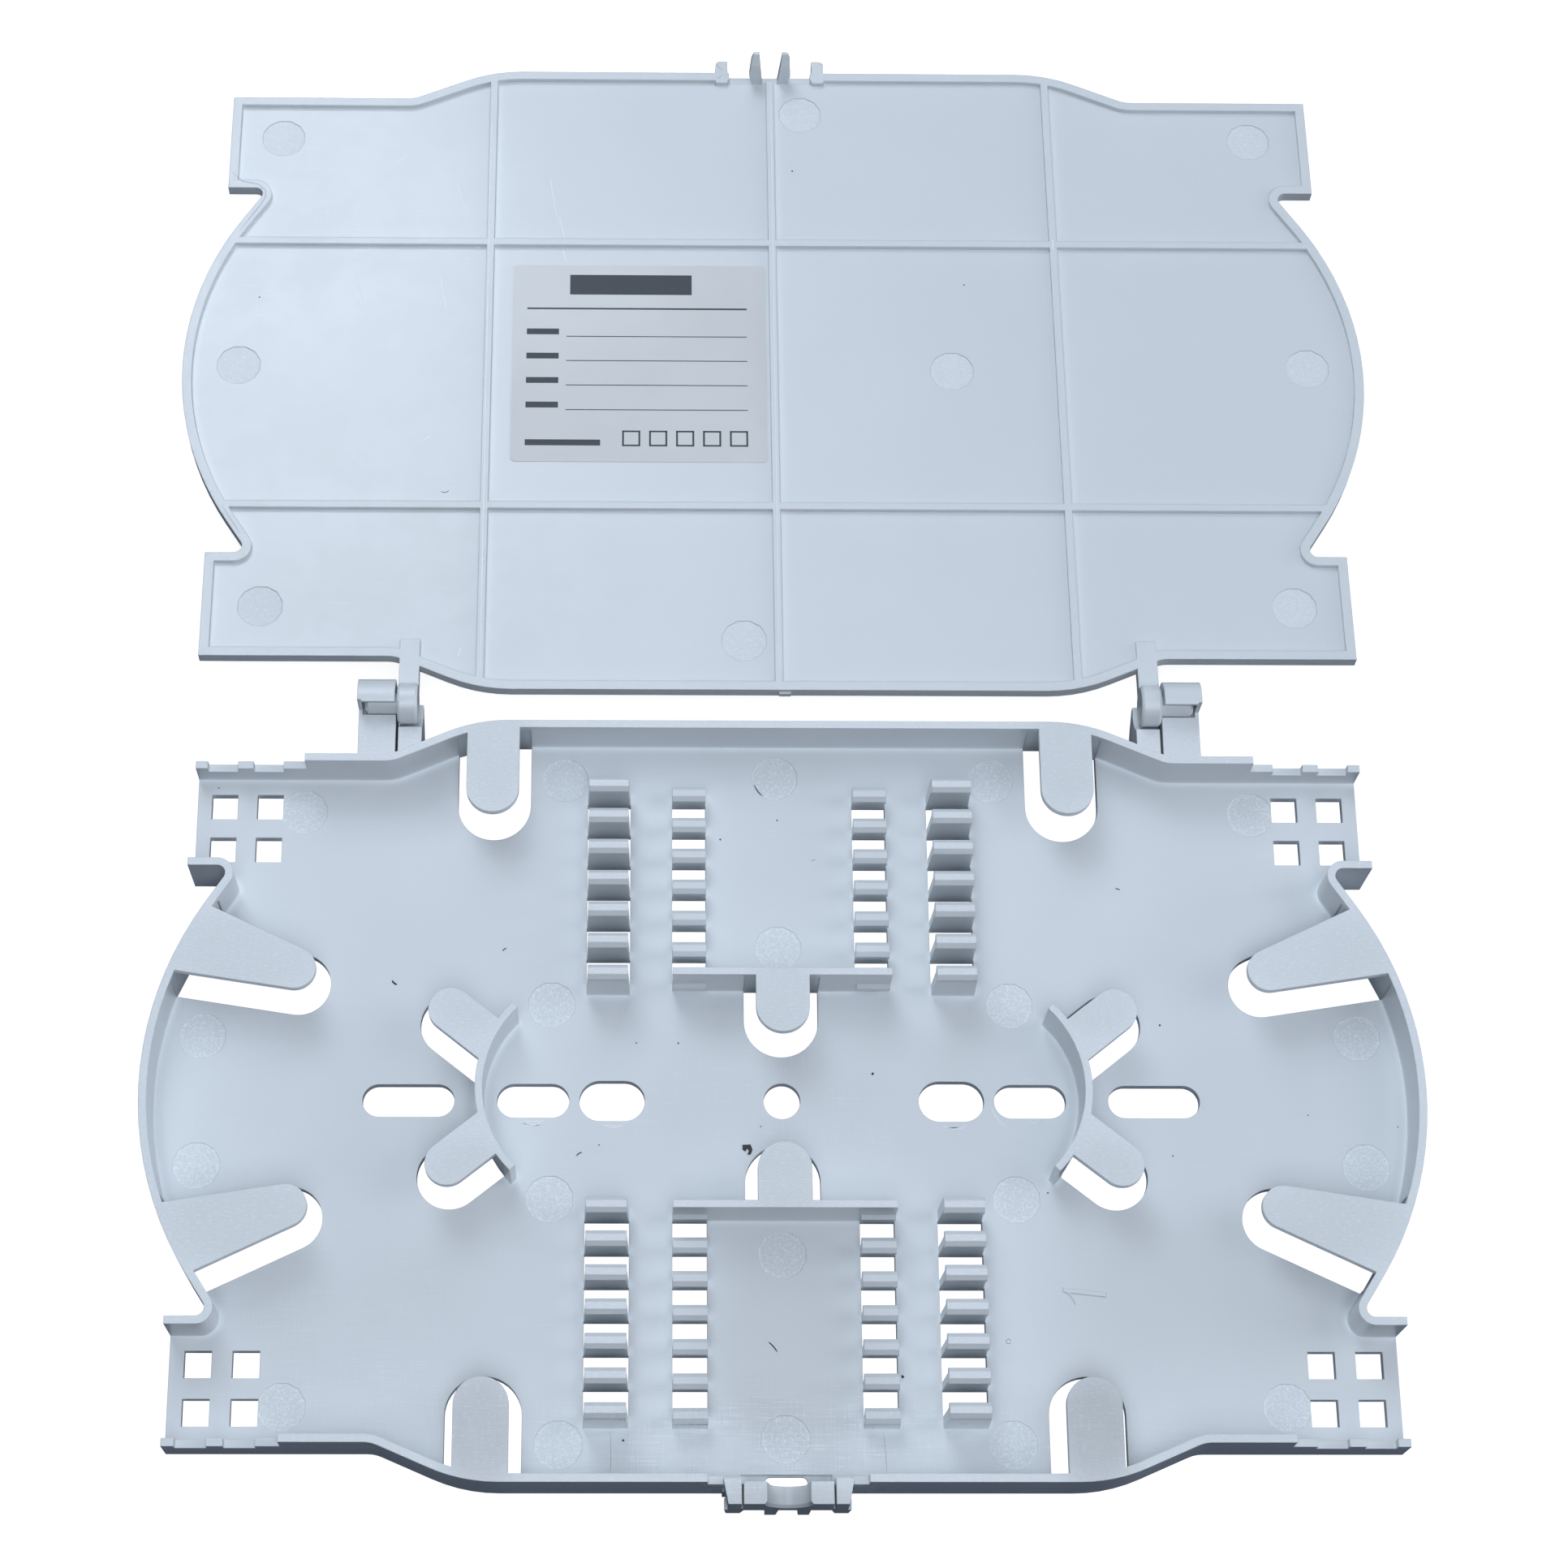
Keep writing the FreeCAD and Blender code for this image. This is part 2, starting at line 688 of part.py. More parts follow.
def lid_shut():
    """The lid as it lies on the base when shut."""
    outline = outline_face()
    z0 = wall_height + lid_gap
    level = lid_plate_level()
    z_top = level + lid_plate
    plate = raise_face(outline, z0, z_top)
    hollow = raise_face(inner_face(outline, lid_rim_width, False), z0 - 1, level)
    ribs = [
        block(x - rib_width / 2, x + rib_width / 2, -half_depth + 1, half_depth - 1, z0, level)
        for x in rib_lines_x
    ]
    ribs += [
        block(-half_length, half_length, y - rib_width / 2, y + rib_width / 2, z0, level)
        for y in rib_lines_y
    ]
    ribs = [rib.common(raise_face(outline, z0, level)) for rib in ribs]
    recess = block(
        -lid_recess_half, lid_recess_half, -half_depth - 1, -prong_y0, z0 - 1, level + 0.2
    )
    edge_back = block(
        -lid_recess_half, lid_recess_half, -half_depth - 1, -lid_recess_y, z0 - 1, z_top + 1
    )
    marks = [ejector_mark(x, y, level - 1, level + ejector_depth) for x, y in lid_ejectors]
    plate = plate.cut([hollow]).fuse(ribs).cut(marks + [recess, edge_back])
    tabs = both_x([lid_latch_tab(z0, z_top - lid_tab_drop)])
    nub = block(nub_x - 0.9, nub_x + 0.9, half_depth - 1, half_depth + 0.3, level, z_top - 0.3)
    adds = tabs + both_x([hinge_arm(z_top), prong()]) + [nub]
    return plate.fuse(adds).removeSplitter()


def label_shut():
    x0, x1, y0, y1 = label_box
    z = lid_plate_level()
    sheet = block(x0, x1, y0, y1, z - label_thickness, z)
    edges = [e for e in sheet.Edges if abs(e.Vertexes[0].Z - e.Vertexes[1].Z) > 0.01]
    return sheet.makeChamfer(label_corner, edges)


def open_angle():
    """Turn from shut to open, where the lid's far edge comes down to the table."""
    reach = half_depth + axis_y
    back = lid_plate_level() + lid_plate - axis_z
    drop = axis_z - rest_clearance
    tilt = math.asin(drop / math.hypot(reach, back)) - math.atan2(back, reach)
    return 180.0 + math.degrees(tilt)


def swing_open(shape):
    """Turns a shut-lid shape about the hinge to the open pose."""
    turned = shape.copy()
    turned.rotate(Vector(0, axis_y, axis_z), Vector(1, 0, 0), -open_angle())
    return turned


os.makedirs("parts", exist_ok=True)
pieces = {
    "base_tray": base_tray(),
    "lid": swing_open(lid_shut()),
    "label": swing_open(label_shut()),
}
for name, shape in pieces.items():
    solid = shape.Solids[0] if len(shape.Solids) == 1 else shape
    solid.exportStep("parts/" + name + ".step")
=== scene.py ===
import json
import math
import random

import bmesh
import bpy
from mathutils import Matrix, Vector


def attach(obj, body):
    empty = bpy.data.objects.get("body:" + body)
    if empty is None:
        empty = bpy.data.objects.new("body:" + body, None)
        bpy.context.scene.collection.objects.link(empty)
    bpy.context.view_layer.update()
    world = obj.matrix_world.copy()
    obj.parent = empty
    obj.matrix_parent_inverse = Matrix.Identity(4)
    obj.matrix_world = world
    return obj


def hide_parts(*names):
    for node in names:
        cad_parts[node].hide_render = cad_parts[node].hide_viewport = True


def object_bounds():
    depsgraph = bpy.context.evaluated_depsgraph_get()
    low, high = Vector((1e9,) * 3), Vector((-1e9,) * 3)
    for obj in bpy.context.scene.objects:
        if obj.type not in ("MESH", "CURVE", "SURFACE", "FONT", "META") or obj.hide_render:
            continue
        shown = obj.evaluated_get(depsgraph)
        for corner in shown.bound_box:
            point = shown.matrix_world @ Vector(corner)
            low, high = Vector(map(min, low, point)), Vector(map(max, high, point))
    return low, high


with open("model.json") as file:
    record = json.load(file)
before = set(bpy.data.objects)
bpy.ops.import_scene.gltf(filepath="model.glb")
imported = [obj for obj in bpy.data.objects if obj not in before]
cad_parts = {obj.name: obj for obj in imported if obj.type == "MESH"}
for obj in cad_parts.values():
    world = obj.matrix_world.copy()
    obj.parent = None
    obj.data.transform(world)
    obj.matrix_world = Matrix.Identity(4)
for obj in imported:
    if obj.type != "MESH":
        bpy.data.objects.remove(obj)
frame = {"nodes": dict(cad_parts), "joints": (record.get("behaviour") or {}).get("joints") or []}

mm = 0.001
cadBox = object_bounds()
hinge = Vector(frame["joints"][0]["pos_m"])
openAngle = math.radians(frame["joints"][0]["range_deg"][1])
lidTurn = Matrix.Rotation(-openAngle, 3, "X")
lidTilt = openAngle - math.pi

# Millimetres with the lid shut: tray floor, inner face of the lid, top of its rim and ribs, and how
# far the ejector discs are sunk below either face
trayFloor = 1.6
lidFace = 10.85
lidRim = 10.05
discDepth = 0.12


def linear(hexText, alpha=1.0):
    values = [int(hexText[i:i + 2], 16) / 255 for i in (1, 3, 5)]
    return [v / 12.92 if v <= 0.04045 else ((v + 0.055) / 1.055) ** 2.4 for v in values] + [alpha]


def node(tree, kind, inputs=None, **settings):
    made = tree.nodes.new(kind)
    for name, value in settings.items():
        setattr(made, name, value)
    for key, value in (inputs or {}).items():
        if isinstance(value, bpy.types.NodeSocket):
            tree.links.new(value, made.inputs[key])
        else:
            made.inputs[key].default_value = value
    return made


def newMaterial(name):
    material = bpy.data.materials.new(name)
    material.use_nodes = True
    material.node_tree.nodes.clear()
    return material, material.node_tree


def calc(tree, operation, *values):
    return node(tree, "ShaderNodeMath", dict(enumerate(values)), operation=operation).outputs[0]


def vectorCalc(tree, operation, *values):
    return node(tree, "ShaderNodeVectorMath", dict(enumerate(values)), operation=operation).outputs["Vector"]


def remap(tree, value, low, high, out, ease="SMOOTHSTEP"):
    return node(tree, "ShaderNodeMapRange", {
        "Value": value, "From Min": low, "From Max": high, "To Min": out[0], "To Max": out[1],
    }, interpolation_type=ease).outputs["Result"]


def noiseField(tree, place, size, detail=2.0, roughness=0.5, distortion=0.0):
    scaled = vectorCalc(tree, "DIVIDE", place, size if isinstance(size, tuple) else (size,) * 3)
    return node(tree, "ShaderNodeTexNoise", {
        "Vector": scaled, "Scale": 1.0, "Detail": detail, "Roughness": roughness, "Distortion": distortion,
    }).outputs["Fac"]


def spot(tree, flat, x, y, rx, ry, full=0.35, anyHeight=1e6):
    # 1 in the middle of an ellipse on the face, fading to 0 at its rim
    away = vectorCalc(tree, "SUBTRACT", flat, (x * mm, y * mm, 0))
    away = vectorCalc(tree, "DIVIDE", away, (rx * mm, ry * mm, anyHeight))
    length = node(tree, "ShaderNodeVectorMath", {0: away}, operation="LENGTH").outputs["Value"]
    return remap(tree, length, full, 1.0, (1.0, 0.0))


def sumOf(tree, values):
    total = values[0]
    for value in values[1:]:
        total = calc(tree, "ADD", total, value)
    return total


# Injection-moulded ABS, light grey: the tool's polish leaves a satin face with fine cross-hatched
# lines, painted lighter into the colour as a painted sheen in the listed glare areas, grained ejector discs
# and soft moulded edges
def mouldedPlastic(name, look):
    material, tree = newMaterial(name)
    place = node(tree, "ShaderNodeTexCoord").outputs["Object"]
    moved = vectorCalc(tree, "SUBTRACT", place, look["pivot"])
    flat = node(tree, "ShaderNodeVectorRotate", {
        "Vector": moved, "Axis": (1, 0, 0), "Angle": look["turn"],
    }, rotation_type="AXIS_ANGLE").outputs["Vector"]
    flat = vectorCalc(tree, "ADD", flat, look["pivot"])
    height = node(tree, "ShaderNodeSeparateXYZ", {0: flat}).outputs["Z"]

    long, fine = look["streakLong"], look["streakFine"]
    streakX = noiseField(tree, flat, (long, fine, fine), 3.0, 0.6)
    aside = vectorCalc(tree, "ADD", flat, look["streakShift"])
    streakY = noiseField(tree, aside, (fine, long, fine), 3.0, 0.6)
    streaks = calc(tree, "MULTIPLY_ADD", streakY, look["streakCross"], streakX)
    patchField = noiseField(tree, flat, look["patch"], 2.0)
    patches = remap(tree, patchField, *look["patchRange"], look["patchLevels"])
    # The listed areas are where glare shows the streaks. There the streaks are painted lighter into the
    # colour as a painted sheen, and they also roughen and bump the face
    polishAndSheen = sumOf(tree, [
        calc(tree, "MULTIPLY", spot(tree, flat, *area[:4]), area[4]) for area in look["polishAndSheen"]
    ])
    polishAndSheen = calc(tree, "MULTIPLY", calc(tree, "ADD", polishAndSheen, look["polishBase"]), patches)
    streakPolishAndSheen = remap(tree, streaks, *look["streakRange"], look["streakLevels"])
    streakPolishAndSheen = calc(tree, "MULTIPLY", streakPolishAndSheen, polishAndSheen)

    cloud = remap(tree, noiseField(tree, flat, look["cloud"], 2.0), 0.3, 0.7, (-1.0, 1.0))
    grain = noiseField(tree, place, look["grain"], 2.0, 0.6)

    # The sunk ejector discs are found by their depth below the moulded face
    inMark = calc(tree, "COMPARE", height, look["markLevel"], look["markWithin"])
    mottleField = noiseField(tree, flat, look["mottle"], 3.0, 0.7, 0.6)
    mottle = calc(tree, "MULTIPLY", remap(tree, mottleField, *look["mottleRange"], (0.0, 1.0)), inMark)

    # Wall tops are a little paler and rubbed by handling, the fingers' tops are not. The fingers of
    # the four quarters of the tray mirror each other
    onTop = calc(tree, "COMPARE", height, look["topLevel"], look["topWithin"])
    scuffField = noiseField(tree, flat, look["scuff"], 3.0, 0.7)
    scuff = calc(tree, "MULTIPLY", remap(tree, scuffField, *look["scuffRange"], (0.0, 1.0)), onTop)
    quarter = vectorCalc(tree, "ABSOLUTE", flat)
    fingers = sumOf(tree, [spot(tree, quarter, *area) for area in look["fingers"]])
    onFinger = calc(tree, "MULTIPLY", onTop, fingers)

    # Painted highlight: a pale line painted into the colour along the foot of the walls, where the small
    # glossy fillet would shine
    corner = node(tree, "ShaderNodeAmbientOcclusion", {
        "Distance": look["foot"],
    }, samples=4, only_local=True).outputs["AO"]
    foot = remap(tree, corner, *look["footRange"], (1.0, 0.0))
    foot = calc(tree, "MULTIPLY", foot, calc(tree, "LESS_THAN", height, look["footLevel"]))

    # Painted shade and painted light: broad soft patches darken or lighten the colour where the light falls
    # off or glares
    shadeAndLightPatches = [calc(tree, "MULTIPLY", spot(tree, flat, *area[:4]), area[4]) for area in look["shadeAndLightPatches"]]
    shade = sumOf(tree, shadeAndLightPatches + [
        calc(tree, "MULTIPLY", streakPolishAndSheen, look["streakSheenTone"]),
        calc(tree, "MULTIPLY", cloud, look["cloudTone"]),
        calc(tree, "MULTIPLY", inMark, look["markTone"]),
        calc(tree, "MULTIPLY", mottle, look["mottleTone"]),
        calc(tree, "MULTIPLY", scuff, look["scuffTone"]),
        calc(tree, "MULTIPLY", onTop, look["topTone"]),
        calc(tree, "MULTIPLY", onFinger, look["fingerTone"]),
        calc(tree, "MULTIPLY", foot, look["footHighlightTone"]),
    ])
    shade = calc(tree, "ADD", shade, 1.0)
    colour = node(tree, "ShaderNodeVectorMath", {
        0: linear(look["colour"])[:3], "Scale": shade,
    }, operation="SCALE").outputs["Vector"]

    relief = sumOf(tree, [
        calc(tree, "MULTIPLY", streakPolishAndSheen, look["streakBump"]),
        calc(tree, "MULTIPLY", mottle, look["mottleBump"]),
        calc(tree, "MULTIPLY", scuff, look["mottleBump"]),
        calc(tree, "MULTIPLY", grain, look["grainBump"]),
    ])
    edge = node(tree, "ShaderNodeBevel", {"Radius": look["edge"]}, samples=6).outputs["Normal"]
    bump = node(tree, "ShaderNodeBump", {
        "Height": relief, "Distance": mm, "Strength": 1.0, "Normal": edge,
    }).outputs["Normal"]
    rough = calc(tree, "MULTIPLY_ADD", streakPolishAndSheen, look["streakRough"], look["roughness"])
    rough = calc(tree, "MULTIPLY_ADD", inMark, look["markRough"], rough)
    shader = node(tree, "ShaderNodeBsdfPrincipled", {
        "Base Color": colour, "Roughness": rough, "IOR": 1.5, "Normal": bump,
        "Subsurface Weight": look["milk"], "Subsurface Radius": (1.0, 1.0, 1.0),
        "Subsurface Scale": look["milkDepth"],
    }).outputs["BSDF"]
    node(tree, "ShaderNodeOutputMaterial", {"Surface": shader})
    return material


trayLook = {
    "colour": "#DBE1E4", "turn": 0.0, "pivot": (0, 0, 0),
    "markLevel": (trayFloor - discDepth) * mm, "topLevel": 10.0 * mm,
    "streakLong": 6 * mm, "streakFine": 0.26 * mm, "streakCross": 0.7, "streakShift": (0.31, 0.17, 0.0),
    "streakRange": (0.85, 1.25), "streakLevels": (-0.3, 1.0),
    "patch": 7 * mm, "patchRange": (0.35, 0.65), "patchLevels": (0.5, 1.0),
    "markWithin": 0.05 * mm, "markRough": 0.12, "mottleRange": (0.46, 0.62),
    "topWithin": 0.12 * mm, "scuff": (0.8 * mm, 0.25 * mm, 0.5 * mm), "scuffRange": (0.5, 0.68),
    # Areas where glare shows the streaks, which are painted lighter there as a painted sheen
    "polishAndSheen": ((0, -52, 30, 13, 0.8), (0, -51, 85, 11, 0.7), (0, 0, 30, 12, 0.3), (-66, -38, 30, 22, 0.4)),
    "polishBase": 0.15, "streakSheenTone": 0.15, "streakBump": 0.006, "streakRough": 0.06,
    "cloud": 22 * mm, "cloudTone": 0.008, "grain": 0.1 * mm, "grainBump": 0.0012,
    "mottle": 0.38 * mm, "markTone": -0.025, "mottleTone": 0.16, "mottleBump": 0.012, "scuffTone": 0.10,
    "topTone": 0.05, "fingerTone": -0.075,
    "foot": 1.2 * mm, "footRange": (0.5, 0.9), "footLevel": 2.4 * mm, "footHighlightTone": 0.36,
    "fingers": ((43.8, 53, 8, 14), (79, 20.5, 17, 9), (46.5, 13.5, 9, 8), (0, 14, 8, 9)),
    # Patches of painted shade (negative) and painted light (positive): x, y, half-widths in mm and amount
    "shadeAndLightPatches": ((0, -37, 19, 24, -0.12), (43.8, -50, 9, 12, -0.20), (-43.8, -50, 9, 12, -0.14),
              (62, -38, 32, 24, -0.06), (-62, -38, 30, 22, -0.02), (0, -62.5, 20, 6, -0.22),
              (0, -1, 26, 16, -0.02), (62, 26, 36, 26, 0.05), (-62, 26, 36, 26, 0.02),
              (80, 0, 20, 16, 0.04), (-80, 0, 20, 16, 0.04)),
    "edge": 0.22 * mm, "roughness": 0.29, "milk": 0.06, "milkDepth": 0.5 * mm,
}
lidLook = dict(
    trayLook, turn=lidTilt, pivot=tuple(hinge),
    markLevel=2 * hinge.z - (lidFace + discDepth) * mm, topLevel=2 * hinge.z - lidRim * mm,
    # The lid's far left, where its glare falls: the streaks are painted lighter there as a painted sheen
    polishAndSheen=((-78, 155, 50, 36, 1.0), (-80, 125, 50, 40, 0.9), (-75, 85, 60, 30, 0.9),
              (-50, 80, 40, 25, 0.5)),
    polishBase=0.08, streakSheenTone=0.17, streakBump=0.006, roughness=0.25, scuffTone=0.03, mottleTone=0.08,
    streakLong=9 * mm, streakFine=0.36 * mm, streakCross=0.45,
    markTone=0.02, topTone=0.0, footHighlightTone=0.0, fingerTone=0.0, fingers=((0, 0, 1, 1),),
    # Painted highlight where the lid's glare falls on its far left
    shadeAndLightPatches=((-75, 150, 45, 40, 0.10), (-80, 115, 40, 35, 0.03)),
)
trayPlastic = mouldedPlastic("MouldedAbsPolishedTool", trayLook)
lidPlastic = mouldedPlastic("MouldedAbsThinLid", lidLook)
print("stage: moulded plastic")


# Coated label film: neutral pale grey and matt, so it takes no glare where the plastic does
labelLook = {
    "colour": "#D6D9D9", "tooth": 0.2 * mm, "bump": 0.003, "cloud": 9 * mm, "cloudLevels": (0.985, 1.015),
    "roughness": 0.5, "pale": (-46, 142, 40, 34), "paintedGlareTone": 0.10,
}


def labelFilm(name, look):
    material, tree = newMaterial(name)
    place = node(tree, "ShaderNodeTexCoord").outputs["Object"]
    shade = remap(tree, noiseField(tree, place, look["cloud"]), 0.3, 0.7, look["cloudLevels"])
    level = vectorCalc(tree, "MULTIPLY", place, (1, 1, 0))
    # Painted highlight: the label is painted paler towards its far left, where the lid's glare falls
    shade = calc(tree, "MULTIPLY_ADD", spot(tree, level, *look["pale"]), look["paintedGlareTone"], shade)
    colour = node(tree, "ShaderNodeVectorMath", {
        0: linear(look["colour"])[:3], "Scale": shade,
    }, operation="SCALE").outputs["Vector"]
    tooth = calc(tree, "MULTIPLY", noiseField(tree, place, look["tooth"], 3.0), look["bump"])
    bump = node(tree, "ShaderNodeBump", {"Height": tooth, "Distance": mm}).outputs["Normal"]
    shader = node(tree, "ShaderNodeBsdfPrincipled", {
        "Base Color": colour, "Roughness": look["roughness"], "IOR": 1.45, "Normal": bump,
    }).outputs["BSDF"]
    node(tree, "ShaderNodeOutputMaterial", {"Surface": shader})
    return material


# A plain surface with a little speckle, for ink, dirt and scratches
def speckled(name, colour, roughness, size, swing):
    material, tree = newMaterial(name)
    place = node(tree, "ShaderNodeTexCoord").outputs["Object"]
    shade = remap(tree, noiseField(tree, place, size, 3.0), 0.3, 0.7, (1 - swing, 1 + swing))
    tinted = node(tree, "ShaderNodeVectorMath", {
        0: linear(colour)[:3], "Scale": shade,
    }, operation="SCALE").outputs["Vector"]
    shader = node(tree, "ShaderNodeBsdfPrincipled", {
        "Base Color": tinted, "Roughness": roughness, "IOR": 1.5,
    }).outputs["BSDF"]
    node(tree, "ShaderNodeOutputMaterial", {"Surface": shader})
    return material


labelMaterial = labelFilm("CoatedLabelFilmMatt", labelLook)
inkMaterial = speckled("ThermalPrintInk", "#3A4149", 0.5, 0.15 * mm, 0.10)
dirtMaterial = speckled("CharredPlasticSpeck", "#2A2E34", 0.6, 0.2 * mm, 0.30)
hairMaterial = speckled("MouldPartingHairline", "#98A2AC", 0.5, 0.4 * mm, 0.25)
rubMaterial = speckled("StressWhitenedRub", "#EBEFF2", 0.45, 0.3 * mm, 0.06)

for nodeName, material in (("base_tray", trayPlastic), ("lid", lidPlastic), ("label", labelMaterial)):
    piece = frame["nodes"][nodeName]
    piece.data.materials.clear()
    piece.data.materials.append(material)
print("stage: nodes dressed")

# The two hinge roots end in a block that stands out of the sloping wall inside the tray. On the
# real moulding that wall runs on smoothly, so this copy of the tray takes the block's corners back
hingeRoot = {"x": (54.8, 58.4), "blockY": 51.2, "wallY": (53.05, 51.53), "near": 0.02}


def smoothTray(look=hingeRoot):
    source = frame["nodes"]["base_tray"]
    data = source.data.copy()
    for corner in data.vertices:
        place = corner.co / mm
        for x, wallY in zip(look["x"], look["wallY"]):
            if abs(abs(place.x) - x) < look["near"] and abs(place.y - look["blockY"]) < look["near"]:
                corner.co.y = wallY * mm
    data.update()
    piece = bpy.data.objects.new("TrayMoulding", data)
    piece.matrix_world = source.matrix_world.copy()
    bpy.context.scene.collection.objects.link(piece)
    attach(piece, "base")
    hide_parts("base_tray")


smoothTray()
print("stage: tray moulding")


def onTray(x, y, z):
    return Vector((x, y, z)) * mm


def onLid(x, y, z):
    # Lid details are placed as if the lid were shut, then swung open with it
    return lidTurn @ (Vector((x, y, z)) * mm - hinge) + hinge


def addStrip(mesh, points, widths, low, high, where):
    # A thin closed strip along a path, from level low to level high
    rows = []
    for i, (x, y) in enumerate(points):
        before, after = points[max(i - 1, 0)], points[min(i + 1, len(points) - 1)]
        along = Vector((after[0] - before[0], after[1] - before[1])).normalized()
        side = Vector((-along.y, along.x)) * widths[i] / 2
        corners = [(x + side.x, y + side.y, low), (x - side.x, y - side.y, low),
                   (x - side.x, y - side.y, high), (x + side.x, y + side.y, high)]
        rows.append([mesh.verts.new(where(*corner)) for corner in corners])
    for first, second in zip(rows, rows[1:]):
        for j in range(4):
            k = (j + 1) % 4
            mesh.faces.new((first[j], first[k], second[k], second[j]))
    mesh.faces.new(rows[0][::-1])
    mesh.faces.new(rows[-1])


def addPatch(mesh, points, low, high, where):
    bottom = [mesh.verts.new(where(x, y, low)) for x, y in points]
    top = [mesh.verts.new(where(x, y, high)) for x, y in points]
    mesh.faces.new(bottom)
    mesh.faces.new(top)
    for i in range(len(points)):
        j = (i + 1) % len(points)
        mesh.faces.new((bottom[i], bottom[j], top[j], top[i]))


def detail(name, fill, material, body, slotName=None):
    mesh = bmesh.new()
    fill(mesh)
    bmesh.ops.recalc_face_normals(mesh, faces=mesh.faces)
    data = bpy.data.meshes.new(name)
    mesh.to_mesh(data)
    mesh.free()
    data.materials.append(material)
    piece = bpy.data.objects.new(name, data)
    bpy.context.scene.collection.objects.link(piece)
    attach(piece, body)
    return piece


def tapered(points, width, tip=0.25):
    # Strip widths that run out to a narrow tip at both ends
    last = len(points) - 1
    return [width * (tip if i in (0, last) else 1.0) for i in range(last + 1)]


def between(start, end, count, bend=0.0):
    # Points from start to end, bowed sideways by bend
    across = Vector((start[1] - end[1], end[0] - start[0]))
    points = []
    for i in range(count + 1):
        t = i / count
        bow = bend * 4 * t * (1 - t)
        points.append((start[0] + (end[0] - start[0]) * t + across.x * bow,
                       start[1] + (end[1] - start[1]) * t + across.y * bow))
    return points


def arcPoints(x, y, radius, start, end, count=8):
    angles = [math.radians(start + (end - start) * i / count) for i in range(count + 1)]
    return [(x + radius * math.cos(a), y + radius * math.sin(a)) for a in angles]


# Raised moulding number on the tray floor, lying on its side
numeral = {
    "bar": ((41.0, -28.55), (47.35, -29.3)), "width": 0.7, "height": 0.16, "root": 0.02, "hookDrop": 0.04,
    "hook": ((41.1, -28.8), (42.7, -30.75)), "hookWidth": 0.26, "hookBend": 0.16,
}


def fillNumeral(mesh, look=numeral):
    low, high = trayFloor - look["root"], trayFloor + look["height"]
    addStrip(mesh, between(*look["bar"], 2), [look["width"]] * 3, low, high, onTray)
    hook = between(*look["hook"], 6, look["hookBend"])
    addStrip(mesh, hook, tapered(hook, look["hookWidth"]), low, high - look["hookDrop"], onTray)


detail("MouldNumber", fillNumeral, trayPlastic, "base", "tray_plastic")
print("stage: moulding number")


# Print on the label: a plain write-on form with a bar, rules and tick boxes
form = {
    "face": 10.75, "ink": 0.012, "root": 0.02, "left": -39.9, "right": -4.3,
    "bar": (-33.0, -13.2, -18.0, -14.2), "rule": -11.5, "ruleWidth": 0.32,
    "lines": (-6.2, -1.6, 3.0, 7.6), "lineWidth": 0.16,
    "word": 5.2, "wordHeight": 1.1, "wordRise": 0.9, "wordGap": 1.2, "longWord": 12.0, "longWordDrop": 0.8,
    "boxes": 5, "boxSize": 2.9, "boxPitch": 4.3, "boxY": 12.9, "boxLine": 0.3,
}


def fillForm(mesh, look=form):
    high, low = look["face"] - look["ink"], look["face"] + look["root"]
    x0, x1 = look["left"], look["right"]

    def bar(a, b, y, width):
        addStrip(mesh, [(a, y), (b, y)], [width] * 2, low, high, onLid)

    left, right, near, far = look["bar"]
    bar(left, right, (near + far) / 2, far - near)
    bar(x0, x1, look["rule"], look["ruleWidth"])
    for y in look["lines"]:
        bar(x0, x0 + look["word"], y - look["wordRise"], look["wordHeight"])
        bar(x0 + look["word"] + look["wordGap"], x1, y, look["lineWidth"])
    half, line = look["boxSize"] / 2, look["boxLine"]
    for i in range(look["boxes"]):
        x = x1 - half - i * look["boxPitch"]
        y = look["boxY"]
        for side in (-1, 1):
            bar(x - half, x + half, y + side * (half - line / 2), line)
            edge = x + side * (half - line / 2)
            addStrip(mesh, [(edge, y - half), (edge, y + half)], [line] * 2, low, high, onLid)
    bar(x0, x0 + look["longWord"], look["boxY"] + look["longWordDrop"], look["wordHeight"])


detail("LabelForm", fillForm, inkMaterial, "lid")
print("stage: label form")


